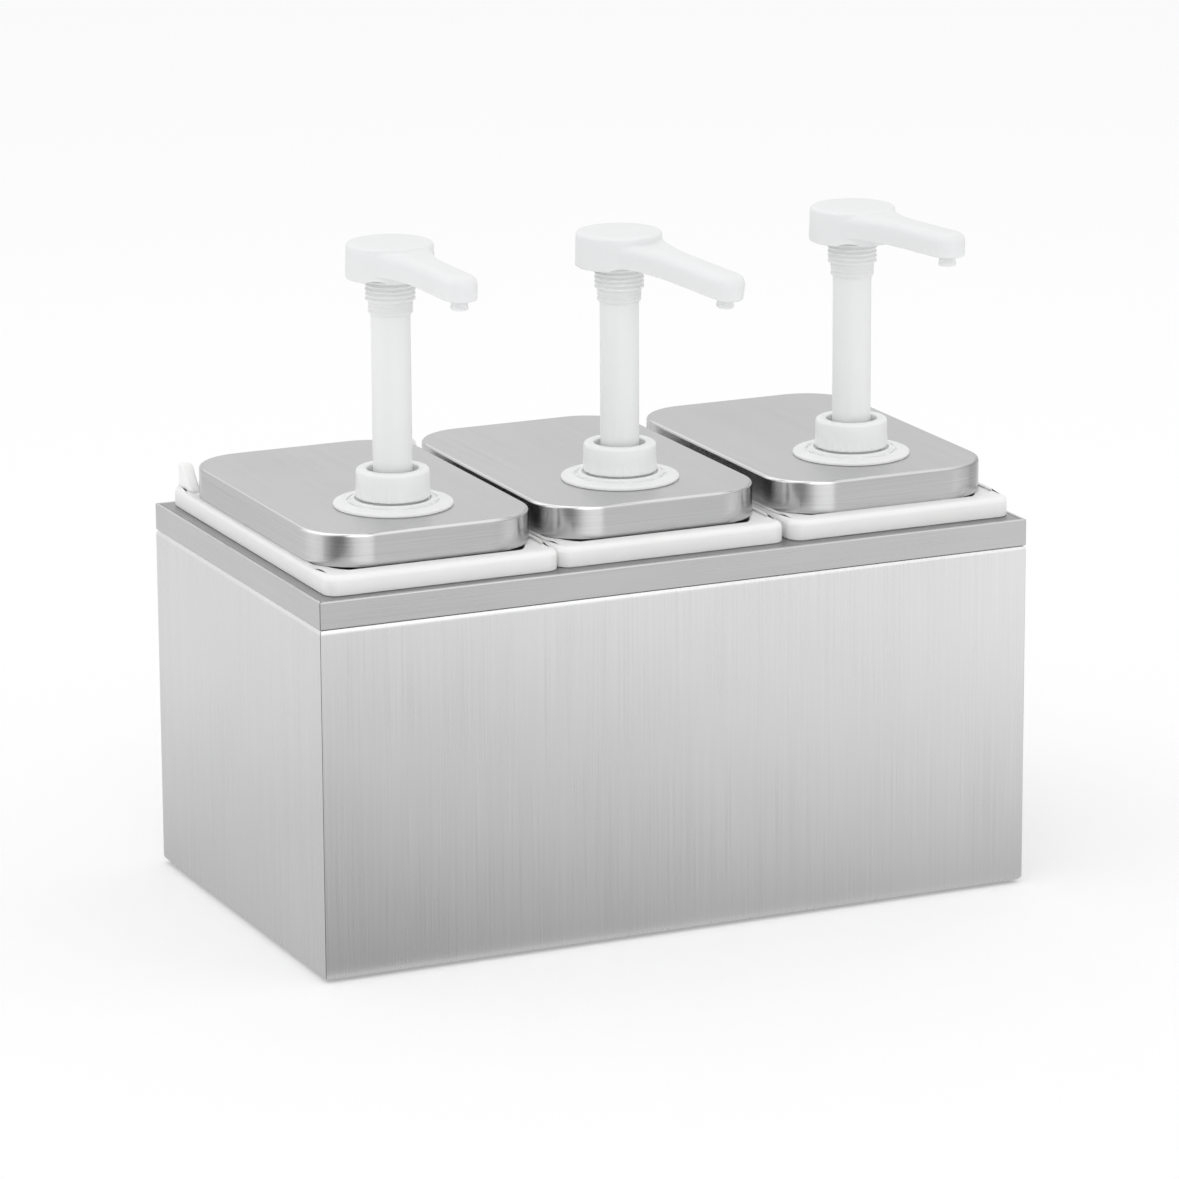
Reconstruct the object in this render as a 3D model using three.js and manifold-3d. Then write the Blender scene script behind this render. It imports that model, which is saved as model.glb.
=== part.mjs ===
// Three-station condiment pump dispenser: a folded sheet-steel housing that carries three
// plastic containers, each with a drawn steel lid and a hand pump that reaches to its floor.
// Millimetres, +Z up, +X along the front, the front faces -Y, z = 0 is the worktop.

import * as THREE from 'three';
import { mergeVertices } from 'three/addons/utils/BufferGeometryUtils.js';
import Module from 'manifold-3d';

const wasm = await Module();
wasm.setup();

// ---------------------------------------------------------------- driving dimensions

const stationCount = 3;

const container = {
  rimWidth: 138,       // outside of the rim, along the front
  rimDepth: 237,       // outside of the rim, front to back
  rimHeight: 11.5,     // rim above the top plate
  rimCorner: 8,
  rimEdge: 2,          // rounding of the rim's upper edge
  landDrop: 0.9,       // the lid stands in a rebate this deep
  ledge: 8,            // rim's overhang beyond the tub
  floorAir: 17.2,      // tub above the housing's floor
  corner: 20,
  draft: 4,            // tub narrows by this on each side towards its floor
  wall: 2.5,
  floor: 3,
};

const lug = { width: 6.6, topLength: 6.5, footLength: 18.8, height: 13.3, fromSide: 3, fromBack: 4 };

const lid = {
  insetX: 2.25,        // lid skirt inside the rim at the sides
  insetY: 13.5,        // lid skirt inside the rim at front and back
  height: 18.5,
  corner: 32,
  edge: 1.5,
  sheet: 1,
  playX: 1,
  playY: 3,
};

const plate = {
  sheet: 1.2,
  skirt: 15.2,
  seam: 0.5,           // open seam at each corner of the skirt
  sideMargin: 6,       // plate beyond the outer rims
  frontMargin: 6.5,    // plate beyond the rims at front and back
  stationGap: 2,       // between two rims
  wellPlay: 3.5,       // cut-out beyond the tub on each side
  wellShift: 3,        // cut-outs sit this far behind the middle
};

const housing = { sheet: 1, wallHeight: 197.7, lip: 8, bend: 2.5, seam: 0.4, plateGap: 0.3 };

const foot = { radius: 9, height: 1.5, plugRadius: 3.5, plugHeight: 3.5, inset: 26, play: 0.2 };

const pump = {
  forward: 48,         // pump axis in front of the lid's middle
  holePlay: 2.4,       // lid hole beyond the flange's spigot
  stroke: 94,
};

const flange = {
  radius: 33.3,
  rimThick: 2.2,
  discThick: 2.8,
  ringInner: 21,
  ringOuter: 23.4,
  ringHeight: 4.2,
  dishOuter: 26.4,
  neckPlay: 0.3,       // neck beyond the barrel's lip
  neckWall: 1.2,
  neckHeight: 14.6,
  ledgeHeight: 3.6,
  spigotRadius: 19,
  spigotLength: 14,
};

const gasket = { width: 6.5, thick: 1.5 };
const nut = { radius: 27, thick: 8, play: 0.4, sides: 8 };

const collar = {
  lowerWall: 3.5,      // skirt wall over the ribs
  upperWall: 3,
  bottom: 5,           // above the lid
  top: 21,             // above the lid
  ribZone: 8,
  innerWall: 1.3,      // wall of the inner tube that clamps the bush
  neckPlay: 0.3,
  roof: 2.4,
  edge: 1.4,
};

const barrel = { bore: 12.2, wall: 1.5, lipWidth: 1.9, lipThick: 1.5, play: 0.4 };
const bush = { flangeThick: 1.2, length: 10, play: 0.1, wall: 1.27 };
const stem = { wall: 2.53, intoHead: 27, play: 0.12 };

const head = {
  topRadius: 23.8,
  radius: 24.6,
  height: 19.7,
  edge: 3.5,
  roof: 6,
  skirtWall: 2.2,
  threadPlay: 0.4,     // lock thread inside the collar's recess
  threadEnd: 32.3,     // below the cap's top
  sleeveWall: 1.22,    // sleeve round the stem
  sleeveEnd: 39.8,     // below the cap's top
};

const spout = {
  reach: 83,           // pump axis to nozzle axis
  width: 20,
  tipRadius: 10,
  top: 1.2,            // below the cap's top, at the pump axis
  thick: 13.4,
  edge: 4,             // rounding of the upper edges
  flareAngle: 57,      // where each side leaves the cap, from the spout's direction
  flareEnd: 51,        // where the flare has narrowed to the spout's width
  channel: 3.5,
  channelDrop: 8.4,    // channel axis below the spout's top
};

const nozzle = { radius: 4.8, bore: 3.2, length: 9.6, stickOut: 5.6, play: 0.1 };

const piston = {
  height: 17,
  spigot: 14,
  play: 0.07,
  lipHeight: 4,
  lipDeep: 1.1,
  seatBore: 2.4,
  cage: 1.2,           // bars of the cross over a ball
  cageHold: 0.5,       // bars' ends in the chamber's wall
  stopGap: 0.5,        // below the bush when the head is up
};
const ball = { radius: 4, lift: 2.5, play: 0.9 };
const spring = { play: 1.8, wire: 0.8, turns: 7, turnSteps: 6, gap: 0.6 };
const footValve = { height: 14, plug: 9, play: 0.1, tubeSocket: 4.5, socketWall: 2 };
const dipTube = { radius: 5, bore: 3.6, floorGap: 5, play: 0.1 };

// How each station stands: where its container and lid have slid to in their play, where the pump
// sits in the lid's hole, the gap left under the head's sleeve at the bottom of its stroke, and
// where the spout points and droops.
const stations = [
  { slide: [2, -1.1], lidSlide: [0, 0], pumpSlide: -0.8, spare: 7.3, yaw: -86, droop: 2 },
  { slide: [0.6, 1.4], lidSlide: [-0.5, 0], pumpSlide: 0, spare: 1, yaw: -68, droop: 8.7 },
  { slide: [2, 0.5], lidSlide: [-0.4, -2.4], pumpSlide: 2.1, spare: 3.3, yaw: -77.6, droop: 0.9 },
];

const rest = 0.1;      // gap between faces that rest on each other
const visibleSides = 16;
const hiddenSides = 12;
const cornerSteps = 2; // half the facets of a rounded corner
const over = 5;        // how far a cutting tool runs past the face it cuts

// ---------------------------------------------------------------- worked-out places

const pitch = container.rimWidth + plate.stationGap;
const housingWidth = stationCount * pitch - plate.stationGap + 2 * plate.sideMargin;
const housingDepth = container.rimDepth + 2 * plate.frontMargin;
const housingTop = foot.height + housing.wallHeight;
const plateTop = housingTop + housing.plateGap + plate.skirt;
const tubWidth = container.rimWidth - 2 * container.ledge;
const tubDepth = container.rimDepth - 2 * container.ledge;
const tubBottom = foot.height + housing.sheet + container.floorAir;
const rimBottom = plateTop + rest;
const rimTop = plateTop + container.rimHeight;
const landTop = rimTop - container.landDrop;
const lidWidth = container.rimWidth - 2 * lid.insetX;
const lidDepth = container.rimDepth - 2 * lid.insetY;
const lidBottom = landTop + rest;
const lidTop = lidBottom + lid.height;
const flangeBottom = lidTop + rest;
const ledgeTop = flangeBottom + flange.ledgeHeight;
const barrelOuter = barrel.bore + barrel.wall;
const lipRadius = barrelOuter + barrel.lipWidth;
const lipBottom = ledgeTop + rest;
const lipTop = lipBottom + barrel.lipThick;
const bushBottom = lipTop + rest;
const bushTop = bushBottom + bush.flangeThick;
const neckInner = lipRadius + flange.neckPlay;
const neckOuter = neckInner + flange.neckWall;
const recessRadius = lipRadius - collar.innerWall;
const stemRadius = barrel.bore - bush.wall;
const stemBore = stemRadius - stem.wall;
const chamberRadius = ball.radius + ball.play;
const pistonBottom = bushBottom - bush.length - piston.stopGap - piston.height;
const springSolid = (spring.turns + 1) * 2 * spring.wire + 2 * spring.gap;
const valveTop = pistonBottom - pump.stroke - springSolid;
const barrelBottom = valveTop - footValve.plug;
const valveBottom = valveTop - footValve.height;
const inletSeat = valveTop - 2 * ball.radius - ball.lift - 2 * piston.cage;
const dischargeSeat = pistonBottom + piston.height / 2;
const tubeBottom = tubBottom + container.floor + dipTube.floorGap;
const nozzleTop = nozzle.length - nozzle.stickOut - spout.thick; // from the spout's top

// ---------------------------------------------------------------- solids

// Signed volume of a closed triangle mesh: negative when its faces point inwards.
function signedVolume(vertices, triangles) {
  const corner = (index) => new THREE.Vector3().fromArray(vertices, index * 3);
  let volume = 0;
  for (let i = 0; i < triangles.length; i += 3) {
    const [a, b, c] = [corner(triangles[i]), corner(triangles[i + 1]), corner(triangles[i + 2])];
    volume += a.dot(b.cross(c)) / 6;
  }
  return volume;
}

function solidFrom(geometry) {
  const bare = geometry.clone();
  bare.deleteAttribute('normal');
  bare.deleteAttribute('uv');
  const merged = mergeVertices(bare, 1e-4);
  const vertices = Float32Array.from(merged.attributes.position.array);
  const index = merged.index.array;
  const triangles = [];
  for (let i = 0; i < index.length; i += 3) {
    const [a, b, c] = [index[i], index[i + 1], index[i + 2]];
    if (a !== b && b !== c && c !== a) triangles.push(a, b, c);
  }
  if (signedVolume(vertices, triangles) < 0) triangles.reverse();
  return new wasm.Manifold(new wasm.Mesh({
    numProp: 3,
    vertProperties: vertices,
    triVerts: Uint32Array.from(triangles),
  }));
}

function geometryFrom(solid) {
  const mesh = solid.getMesh();
  const geometry = new THREE.BufferGeometry();
  geometry.setAttribute('position', new THREE.BufferAttribute(mesh.vertProperties, 3));
  geometry.setIndex(new THREE.BufferAttribute(mesh.triVerts, 1));
  geometry.computeVertexNormals();
  return geometry;
}

function joined(first, ...others) {
  return others.reduce((sum, other) => sum.add(other), first);
}

function cut(first, ...tools) {
  return tools.reduce((left, tool) => left.subtract(tool), first);
}

// A turned piece about +Z from [radius, height] points, which close on themselves or on the axis.
function turned(points, sides) {
  const profile = points.map(([radius, height]) => new THREE.Vector2(radius, height));
  const closes = points[0][0] > 0 || points[points.length - 1][0] > 0;
  if (closes) profile.push(profile[0].clone());
  return solidFrom(new THREE.LatheGeometry(profile, sides).rotateX(Math.PI / 2));
}

function tube(inner, outer, bottom, top, sides) {
  return turned([[inner, bottom], [outer, bottom], [outer, top], [inner, top]], sides);
}

function rod(radius, bottom, top, sides) {
  return turned([[0, bottom], [radius, bottom], [radius, top], [0, top]], sides);
}

// Corner radius of a polygonal hole whose flats still clear a round shaft.
function holeRadius(shaft, play, sides) {
  return (shaft + play) / Math.cos(Math.PI / sides);
}

function block(width, depth, bottom, top) {
  const shape = new THREE.BoxGeometry(width, depth, top - bottom);
  return solidFrom(shape.translate(0, 0, (top + bottom) / 2));
}

function roundedOutline(width, depth, corner) {
  const [x, y] = [width / 2, depth / 2];
  const outline = new THREE.Shape();
  outline.absarc(x - corner, y - corner, corner, 0, Math.PI / 2);
  outline.absarc(-x + corner, y - corner, corner, Math.PI / 2, Math.PI);
  outline.absarc(-x + corner, -y + corner, corner, Math.PI, Math.PI * 1.5);
  outline.absarc(x - corner, -y + corner, corner, Math.PI * 1.5, Math.PI * 2);
  return outline;
}

function slab(outline, bottom, top, curveSegments = cornerSteps) {
  const geometry = new THREE.ExtrudeGeometry(outline, {
    depth: top - bottom,
    bevelEnabled: false,
    curveSegments,
  });
  return solidFrom(geometry.translate(0, 0, bottom));
}

// A slab with its upper edge rounded and its lower edge sharp.
function roundedSlab(width, depth, corner, edge, bottom, top) {
  const outline = roundedOutline(width - 2 * edge, depth - 2 * edge, corner - edge);
  const geometry = new THREE.ExtrudeGeometry(outline, {
    depth: top - edge - bottom,
    bevelThickness: edge,
    bevelSize: edge,
    bevelSegments: 1,
    curveSegments: cornerSteps,
  });
  const body = solidFrom(geometry.translate(0, 0, bottom));
  return body.subtract(block(width + over, depth + over, bottom - edge - over, bottom));
}

// A slab that narrows by draft on every side between its top and its bottom.
function draftedSlab(width, depth, corner, draft, bottom, top) {
  const geometry = new THREE.ExtrudeGeometry(roundedOutline(width, depth, corner), {
    depth: top - bottom,
    bevelEnabled: false,
    curveSegments: cornerSteps,
  });
  const place = geometry.attributes.position;
  for (let i = 0; i < place.count; i += 1) {
    if (place.getZ(i) > 0) continue;
    place.setX(i, place.getX(i) * (1 - 2 * draft / width));
    place.setY(i, place.getY(i) * (1 - 2 * draft / depth));
  }
  return solidFrom(geometry.translate(0, 0, bottom));
}

// Turns a profile drawn in X and Y, extruded along Z, to lie in Y and Z, extruded along X.
function standUp() {
  return new THREE.Matrix4().makeBasis(
    new THREE.Vector3(0, 1, 0),
    new THREE.Vector3(0, 0, 1),
    new THREE.Vector3(1, 0, 0),
  );
}

// ---------------------------------------------------------------- materials

const finishes = {
  steel: { color: 0xd2d2d2, roughness: 0.32, metalness: 1 },
  darkSteel: { color: 0xb4b4b4, roughness: 0.36, metalness: 1 },
  plastic: { color: 0xf0f0ee, roughness: 0.45, metalness: 0 },
  rubber: { color: 0x2c2c2c, roughness: 0.85, metalness: 0 },
  seal: { color: 0xdcdcd8, roughness: 0.7, metalness: 0 },
};

function named(name, solid, finish) {
  const mesh = new THREE.Mesh(geometryFrom(solid), new THREE.MeshStandardMaterial(finishes[finish]));
  mesh.name = name;
  return mesh;
}

// ---------------------------------------------------------------- housing

// One wall of the folded housing: floor bend, upright and inward lip, standing at y = 0.
function foldedWall(length) {
  const { sheet, wallHeight, lip, bend } = housing;
  const inner = bend - sheet;
  const section = new THREE.Shape();
  section.moveTo(lip, 0);
  section.lineTo(bend, 0);
  section.absarc(bend, bend, bend, -Math.PI / 2, -Math.PI, true);
  section.absarc(bend, wallHeight - bend, bend, Math.PI, Math.PI / 2, true);
  section.lineTo(lip, wallHeight);
  section.lineTo(lip, wallHeight - sheet);
  section.absarc(bend, wallHeight - bend, inner, Math.PI / 2, Math.PI, false);
  section.absarc(bend, bend, inner, Math.PI, Math.PI * 1.5, false);
  section.lineTo(lip, sheet);
  const geometry = new THREE.ExtrudeGeometry(section, {
    depth: length,
    bevelEnabled: false,
    curveSegments: 1,
  });
  return geometry.applyMatrix4(standUp()).translate(-length / 2, 0, 0);
}

function footPlaces() {
  const x = housingWidth / 2 - foot.inset;
  const y = housingDepth / 2 - foot.inset;
  return [[-x, -y], [x, -y], [-x, y], [x, y]];
}

// The four walls meet in open mitres, and the floor sheet ties them together.
function housingBody() {
  const half = [housingDepth / 2, housingWidth / 2];
  const walls = [0, 1, 2, 3].map((turn) => {
    const length = turn % 2 ? housingDepth : housingWidth;
    const end = (length - housing.seam) / 2;
    const reach = 2 * housing.lip;
    const mitres = new THREE.Shape();
    mitres.moveTo(-end - over, -over);
    mitres.lineTo(end + over, -over);
    mitres.lineTo(end - reach, reach);
    mitres.lineTo(-end + reach, reach);
    const wall = solidFrom(foldedWall(length)).intersect(slab(mitres, -over, housing.wallHeight + over));
    return wall.translate(0, -half[turn % 2], foot.height).rotate([0, 0, turn * 90]);
  });
  const inset = housing.bend + housing.lip;
  const floorTop = foot.height + housing.sheet;
  const floor = block(housingWidth - inset, housingDepth - inset, foot.height, floorTop);
  const holes = footPlaces().map(([x, y]) => {
    const radius = holeRadius(foot.plugRadius, foot.play, hiddenSides);
    return rod(radius, -over, floorTop + over, hiddenSides).translate(x, y, 0);
  });
  return cut(joined(floor, ...walls), ...holes);
}

function topPlate() {
  const outline = roundedOutline(housingWidth, housingDepth, plate.sheet);
  stations.forEach((station, index) => {
    const well = roundedOutline(
      tubWidth + 2 * plate.wellPlay,
      tubDepth + 2 * plate.wellPlay,
      container.corner + plate.wellPlay,
    );
    const [x, y] = wellMiddle(index);
    outline.holes.push(new THREE.Path(well.getPoints(cornerSteps).map((p) => p.add(new THREE.Vector2(x, y)))));
  });
  const sheetBottom = plateTop - plate.sheet;
  const skirtBottom = plateTop - plate.skirt;
  const sheet = slab(outline, sheetBottom, plateTop);
  const long = block(housingWidth - 2 * plate.sheet, plate.sheet, skirtBottom, sheetBottom + plate.sheet / 2);
  const sideLength = housingDepth - 2 * (plate.sheet + plate.seam);
  const short = block(plate.sheet, sideLength, skirtBottom, sheetBottom + plate.sheet / 2);
  const y = (housingDepth - plate.sheet) / 2;
  const x = (housingWidth - plate.sheet) / 2;
  return joined(
    sheet,
    long.translate(0, -y, 0),
    long.translate(0, y, 0),
    short.translate(-x, 0, 0),
    short.translate(x, 0, 0),
  );
}

function footPad() {
  const plugTop = foot.height + foot.plugHeight;
  const edge = foot.height / 3;
  return turned([
    [0, 0], [foot.radius - edge, 0], [foot.radius, edge], [foot.radius, foot.height - rest],
    [foot.plugRadius, foot.height - rest], [foot.plugRadius, plugTop], [0, plugTop],
  ], hiddenSides);
}

// ---------------------------------------------------------------- container and lid

function wellMiddle(index) {
  return [(index - (stationCount - 1) / 2) * pitch, plate.wellShift];
}

function cornerLug() {
  const { topLength, footLength, height, width, fromSide, fromBack } = lug;
  const root = container.rimHeight / 2;
  const side = new THREE.Shape();
  side.moveTo(0, -root);
  side.lineTo(0, height);
  side.lineTo(-topLength, height);
  side.lineTo(-footLength, 0);
  side.lineTo(-footLength, -root);
  const geometry = new THREE.ExtrudeGeometry(side, {
    depth: width,
    bevelEnabled: false,
    curveSegments: cornerSteps,
  });
  const x = -container.rimWidth / 2 + fromSide;
  const y = container.rimDepth / 2 - fromBack;
  return solidFrom(geometry.applyMatrix4(standUp()).translate(x, y, rimTop));
}

function containerBody() {
  const { rimWidth, rimDepth, rimCorner, rimEdge, corner, draft, wall, floor } = container;
  const tub = draftedSlab(tubWidth, tubDepth, corner, draft, tubBottom, landTop - wall / 2);
  const rim = roundedSlab(rimWidth, rimDepth, rimCorner, rimEdge, rimBottom, rimTop);
  const underRim = slab(
    roundedOutline(rimWidth - 2 * wall, rimDepth - 2 * wall, rimCorner - wall / 2),
    rimBottom - over,
    landTop - wall,
  );
  const cavity = draftedSlab(
    tubWidth - 2 * wall,
    tubDepth - 2 * wall,
    corner - wall,
    draft,
    tubBottom + floor,
    rimTop + over,
  );
  // The lug stands on the rim outside the rebate's straight sides, so the rebate cuts the rim only.
  const rebate = slab(
    roundedOutline(lidWidth + 2 * lid.playX, lidDepth + 2 * lid.playY, lid.corner / 2),
    landTop,
    rimTop + over,
  );
  return cut(joined(cut(rim, underRim, rebate), tub, cornerLug()), cavity);
}

function lidCover(holeX) {
  const shell = roundedSlab(lidWidth, lidDepth, lid.corner, lid.edge, lidBottom, lidTop);
  const inside = slab(
    roundedOutline(lidWidth - 2 * lid.sheet, lidDepth - 2 * lid.sheet, lid.corner - lid.sheet),
    lidBottom - over,
    lidTop - lid.sheet,
  );
  const hole = rod(flange.spigotRadius + pump.holePlay, lidBottom, lidTop + over, visibleSides);
  return cut(shell, inside, hole.translate(holeX, -pump.forward, 0));
}

// ---------------------------------------------------------------- fixed parts of the pump

function pumpFlange() {
  const z = flangeBottom;
  const bore = holeRadius(barrelOuter, barrel.play, visibleSides);
  return turned([
    [bore, z - flange.spigotLength],
    [flange.spigotRadius, z - flange.spigotLength],
    [flange.spigotRadius, z],
    [flange.radius, z],
    [flange.radius, z + flange.rimThick],
    [flange.dishOuter, z + flange.discThick],
    [flange.ringOuter, z + flange.discThick],
    [flange.ringOuter - 0.6, z + flange.ringHeight],
    [flange.ringInner, z + flange.ringHeight],
    [flange.ringInner, z + flange.discThick],
    [neckOuter, z + flange.discThick],
    [neckOuter, z + flange.neckHeight],
    [neckInner, z + flange.neckHeight],
    [neckInner, ledgeTop],
    [bore, ledgeTop],
  ], visibleSides);
}

function flangeGasket() {
  const top = lidTop - lid.sheet - rest;
  const inner = holeRadius(flange.spigotRadius, nut.play, visibleSides);
  return tube(inner, inner + gasket.width, top - gasket.thick, top, visibleSides);
}

function lidNut() {
  const top = lidTop - lid.sheet - gasket.thick - 2 * rest;
  const inner = holeRadius(flange.spigotRadius, nut.play, visibleSides);
  const bored = rod(inner, top - nut.thick - over, top + over, visibleSides);
  return cut(rod(nut.radius, top - nut.thick, top, nut.sides), bored);
}

function collarCap() {
  const bottom = lidTop + collar.bottom;
  const top = lidTop + collar.top;
  const skirtInner = neckOuter + collar.neckPlay;
  const upperRadius = skirtInner + collar.upperWall;
  return turned([
    [skirtInner, bottom],
    [skirtInner + collar.lowerWall, bottom],
    [upperRadius, bottom + collar.ribZone],
    [upperRadius, top - collar.edge],
    [upperRadius - collar.edge, top],
    [recessRadius + collar.edge / 2, top],
    [recessRadius, top - collar.edge / 2],
    [recessRadius, bushTop + rest],
    [lipRadius, bushTop + rest],
    [lipRadius, top - collar.roof],
    [skirtInner, top - collar.roof],
  ], visibleSides);
}

function pumpBarrel() {
  return turned([
    [barrel.bore, barrelBottom],
    [barrelOuter, barrelBottom],
    [barrelOuter, lipBottom],
    [lipRadius, lipBottom],
    [lipRadius, lipTop],
    [barrel.bore, lipTop],
  ], hiddenSides);
}

function stemBush() {
  const inner = holeRadius(stemRadius, bush.play, hiddenSides);
  const outer = barrel.bore - bush.play;
  const bottom = bushBottom - bush.length;
  return turned([
    [inner, bottom],
    [outer, bottom],
    [outer, bushBottom],
    [lipRadius, bushBottom],
    [lipRadius, bushTop],
    [inner, bushTop],
  ], hiddenSides);
}

// A cross of two bars over a ball chamber keeps the ball from leaving.
function ballCage(bottom) {
  const long = 2 * (chamberRadius + piston.cageHold);
  const top = bottom + piston.cage;
  return joined(block(long, piston.cage, bottom, top), block(piston.cage, long, bottom, top));
}

// Height of a ball's middle above the edge of the bore it rests on.
function ballRise() {
  return Math.sqrt(ball.radius ** 2 - piston.seatBore ** 2) + rest;
}

function valveFoot() {
  const socket = holeRadius(dipTube.radius, dipTube.play, hiddenSides);
  const plug = barrel.bore - footValve.play;
  const body = turned([
    [socket, valveBottom - footValve.tubeSocket],
    [socket + footValve.socketWall, valveBottom - footValve.tubeSocket],
    [socket + footValve.socketWall, valveBottom],
    [barrelOuter, valveBottom],
    [barrelOuter, barrelBottom - rest],
    [plug, barrelBottom - rest],
    [plug, valveTop],
    [chamberRadius, valveTop],
    [chamberRadius, inletSeat],
    [piston.seatBore, inletSeat],
    [piston.seatBore, valveBottom],
    [socket, valveBottom],
  ], hiddenSides);
  return joined(body, ballCage(valveTop - piston.cage));
}

function checkBall(seat) {
  const sphere = new THREE.IcosahedronGeometry(ball.radius, 1);
  return solidFrom(sphere.translate(0, 0, seat + ballRise()));
}

function suctionTube() {
  const top = valveBottom - rest;
  return tube(dipTube.bore, dipTube.radius, tubeBottom, top, hiddenSides);
}

// ---------------------------------------------------------------- moving parts of the pump

function pumpPiston() {
  const outer = barrel.bore - piston.play;
  const groove = outer - piston.lipDeep;
  const spigot = stemBore * Math.cos(Math.PI / visibleSides) - stem.play;
  const top = pistonBottom + piston.height;
  const body = turned([
    [piston.seatBore, pistonBottom],
    [outer, pistonBottom],
    [outer, pistonBottom + piston.lipHeight],
    [groove, pistonBottom + piston.lipHeight + piston.lipDeep],
    [groove, top - piston.lipHeight - piston.lipDeep],
    [outer, top - piston.lipHeight],
    [outer, top],
    [spigot, top],
    [spigot, top + piston.spigot],
    [chamberRadius, top + piston.spigot],
    [chamberRadius, dischargeSeat],
    [piston.seatBore, dischargeSeat],
  ], hiddenSides);
  return joined(body, ballCage(dischargeSeat + ballRise() + ball.radius + ball.lift + rest));
}

function returnSpring() {
  const bottom = valveTop + spring.gap + spring.wire;
  const top = pistonBottom - spring.gap - spring.wire;
  const radius = barrel.bore - spring.play - spring.wire;
  class Helix extends THREE.Curve {
    getPoint(t, target = new THREE.Vector3()) {
      const angle = t * spring.turns * Math.PI * 2;
      const height = bottom + t * (top - bottom);
      return target.set(radius * Math.cos(angle), radius * Math.sin(angle), height);
    }
  }
  const wire = new THREE.Shape();
  wire.absarc(0, 0, spring.wire, 0, Math.PI * 2);
  return solidFrom(new THREE.ExtrudeGeometry(wire, {
    steps: spring.turns * spring.turnSteps,
    curveSegments: 2,
    extrudePath: new Helix(),
    bevelEnabled: false,
  }));
}

function pumpStem(station) {
  const top = headTop(station) - head.sleeveEnd + stem.intoHead;
  const bottom = pistonBottom + piston.height + rest;
  return tube(stemBore, stemRadius, bottom, top, visibleSides);
}

// Sleeve under the cap: the lock thread's crest above, a plain guide below.
function threadSleeve(top) {
  const sleeve = stemRadius + head.sleeveWall;
  const crest = recessRadius - head.threadPlay;
  return turned([
    [0, top - head.sleeveEnd],
    [sleeve, top - head.sleeveEnd],
    [sleeve, top - head.threadEnd],
    [crest, top - head.threadEnd],
    [crest, top - head.roof / 2],
    [0, top - head.roof / 2],
  ], visibleSides);
}

function capShell(top) {
  const inner = head.radius - head.skirtWall;
  return turned([
    [0, top - head.roof],
    [inner - head.roof / 2, top - head.roof],
    [inner, top - head.height],
    [head.radius, top - head.height],
    [head.topRadius, top - head.edge],
    [head.topRadius - head.edge * 0.3, top - head.edge * 0.3],
    [head.topRadius - head.edge, top],
    [0, top],
  ], visibleSides);
}

// Half of the spout's plan mirrored about +X: it flares from the cap and ends in a round tip.
function spoutPlan(inset) {
  const angle = THREE.MathUtils.degToRad(spout.flareAngle);
  const [x, y] = [(head.radius - inset) * Math.cos(angle), (head.radius - inset) * Math.sin(angle)];
  const half = spout.width / 2 - inset;
  const bend = (x + spout.flareEnd) / 2;
  const plan = new THREE.Shape();
  plan.moveTo(0, -y);
  plan.lineTo(x, -y);
  plan.quadraticCurveTo(bend, -half, spout.flareEnd, -half);
  plan.absarc(spout.reach, 0, spout.tipRadius - inset, -Math.PI / 2, Math.PI / 2, false);
  plan.lineTo(spout.flareEnd, half);
  plan.quadraticCurveTo(bend, half, x, y);
  plan.lineTo(0, y);
  return plan;
}

// Spout along +X, its top at z = 0, with its upper edges rounded.
function spoutBar() {
  const { thick, edge, reach } = spout;
  const bar = new THREE.ExtrudeGeometry(spoutPlan(edge), {
    depth: thick - edge,
    bevelThickness: edge,
    bevelSize: edge,
    bevelSegments: 2,
    curveSegments: 4,
  });
  const whole = solidFrom(bar.translate(0, 0, -thick));
  const under = block(4 * reach, 4 * reach, -thick - edge - over, -thick);
  const behind = block(2 * edge, 4 * reach, -thick - over, over).translate(-edge, 0, 0);
  return cut(whole, under, behind);
}

function nozzleSeat() {
  return holeRadius(nozzle.radius, nozzle.play, hiddenSides);
}

// The flow channel along the spout, and the seat that the nozzle is pressed into.
function spoutChannel() {
  const length = spout.reach + spout.channel / 2;
  const along = solidFrom(new THREE.CylinderGeometry(spout.channel, spout.channel, length, 10)
    .rotateZ(Math.PI / 2)
    .translate(length / 2, 0, -spout.channelDrop));
  const down = rod(nozzleSeat(), -spout.thick - over, nozzleTop + rest, hiddenSides);
  return joined(along, down.translate(spout.reach, 0, 0));
}

function tilted(solid, station, top) {
  return solid.rotate([0, station.droop, 0]).translate(0, 0, top - spout.top);
}

// The head's sleeve comes down to the bush, so the head stands a stroke and its spare gap above it.
function headTop(station) {
  return bushTop + station.spare + pump.stroke + head.sleeveEnd;
}

function pumpHead(station) {
  const top = headTop(station);
  const sleeve = threadSleeve(top);
  const shell = capShell(top);
  const bar = tilted(spoutBar(), station, top);
  const channel = tilted(spoutChannel(), station, top);
  const socketTop = top - head.sleeveEnd + stem.intoHead + rest;
  const socketRadius = stemRadius + stem.play;
  const socket = rod(socketRadius, top - head.sleeveEnd - over, socketTop, visibleSides);
  return cut(joined(shell, sleeve, bar), channel, socket);
}

function nozzleInsert(station) {
  const body = tube(nozzle.bore, nozzle.radius, nozzleTop - nozzle.length, nozzleTop, hiddenSides);
  return tilted(body.translate(spout.reach, 0, 0), station, headTop(station));
}

// ---------------------------------------------------------------- assembly

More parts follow.
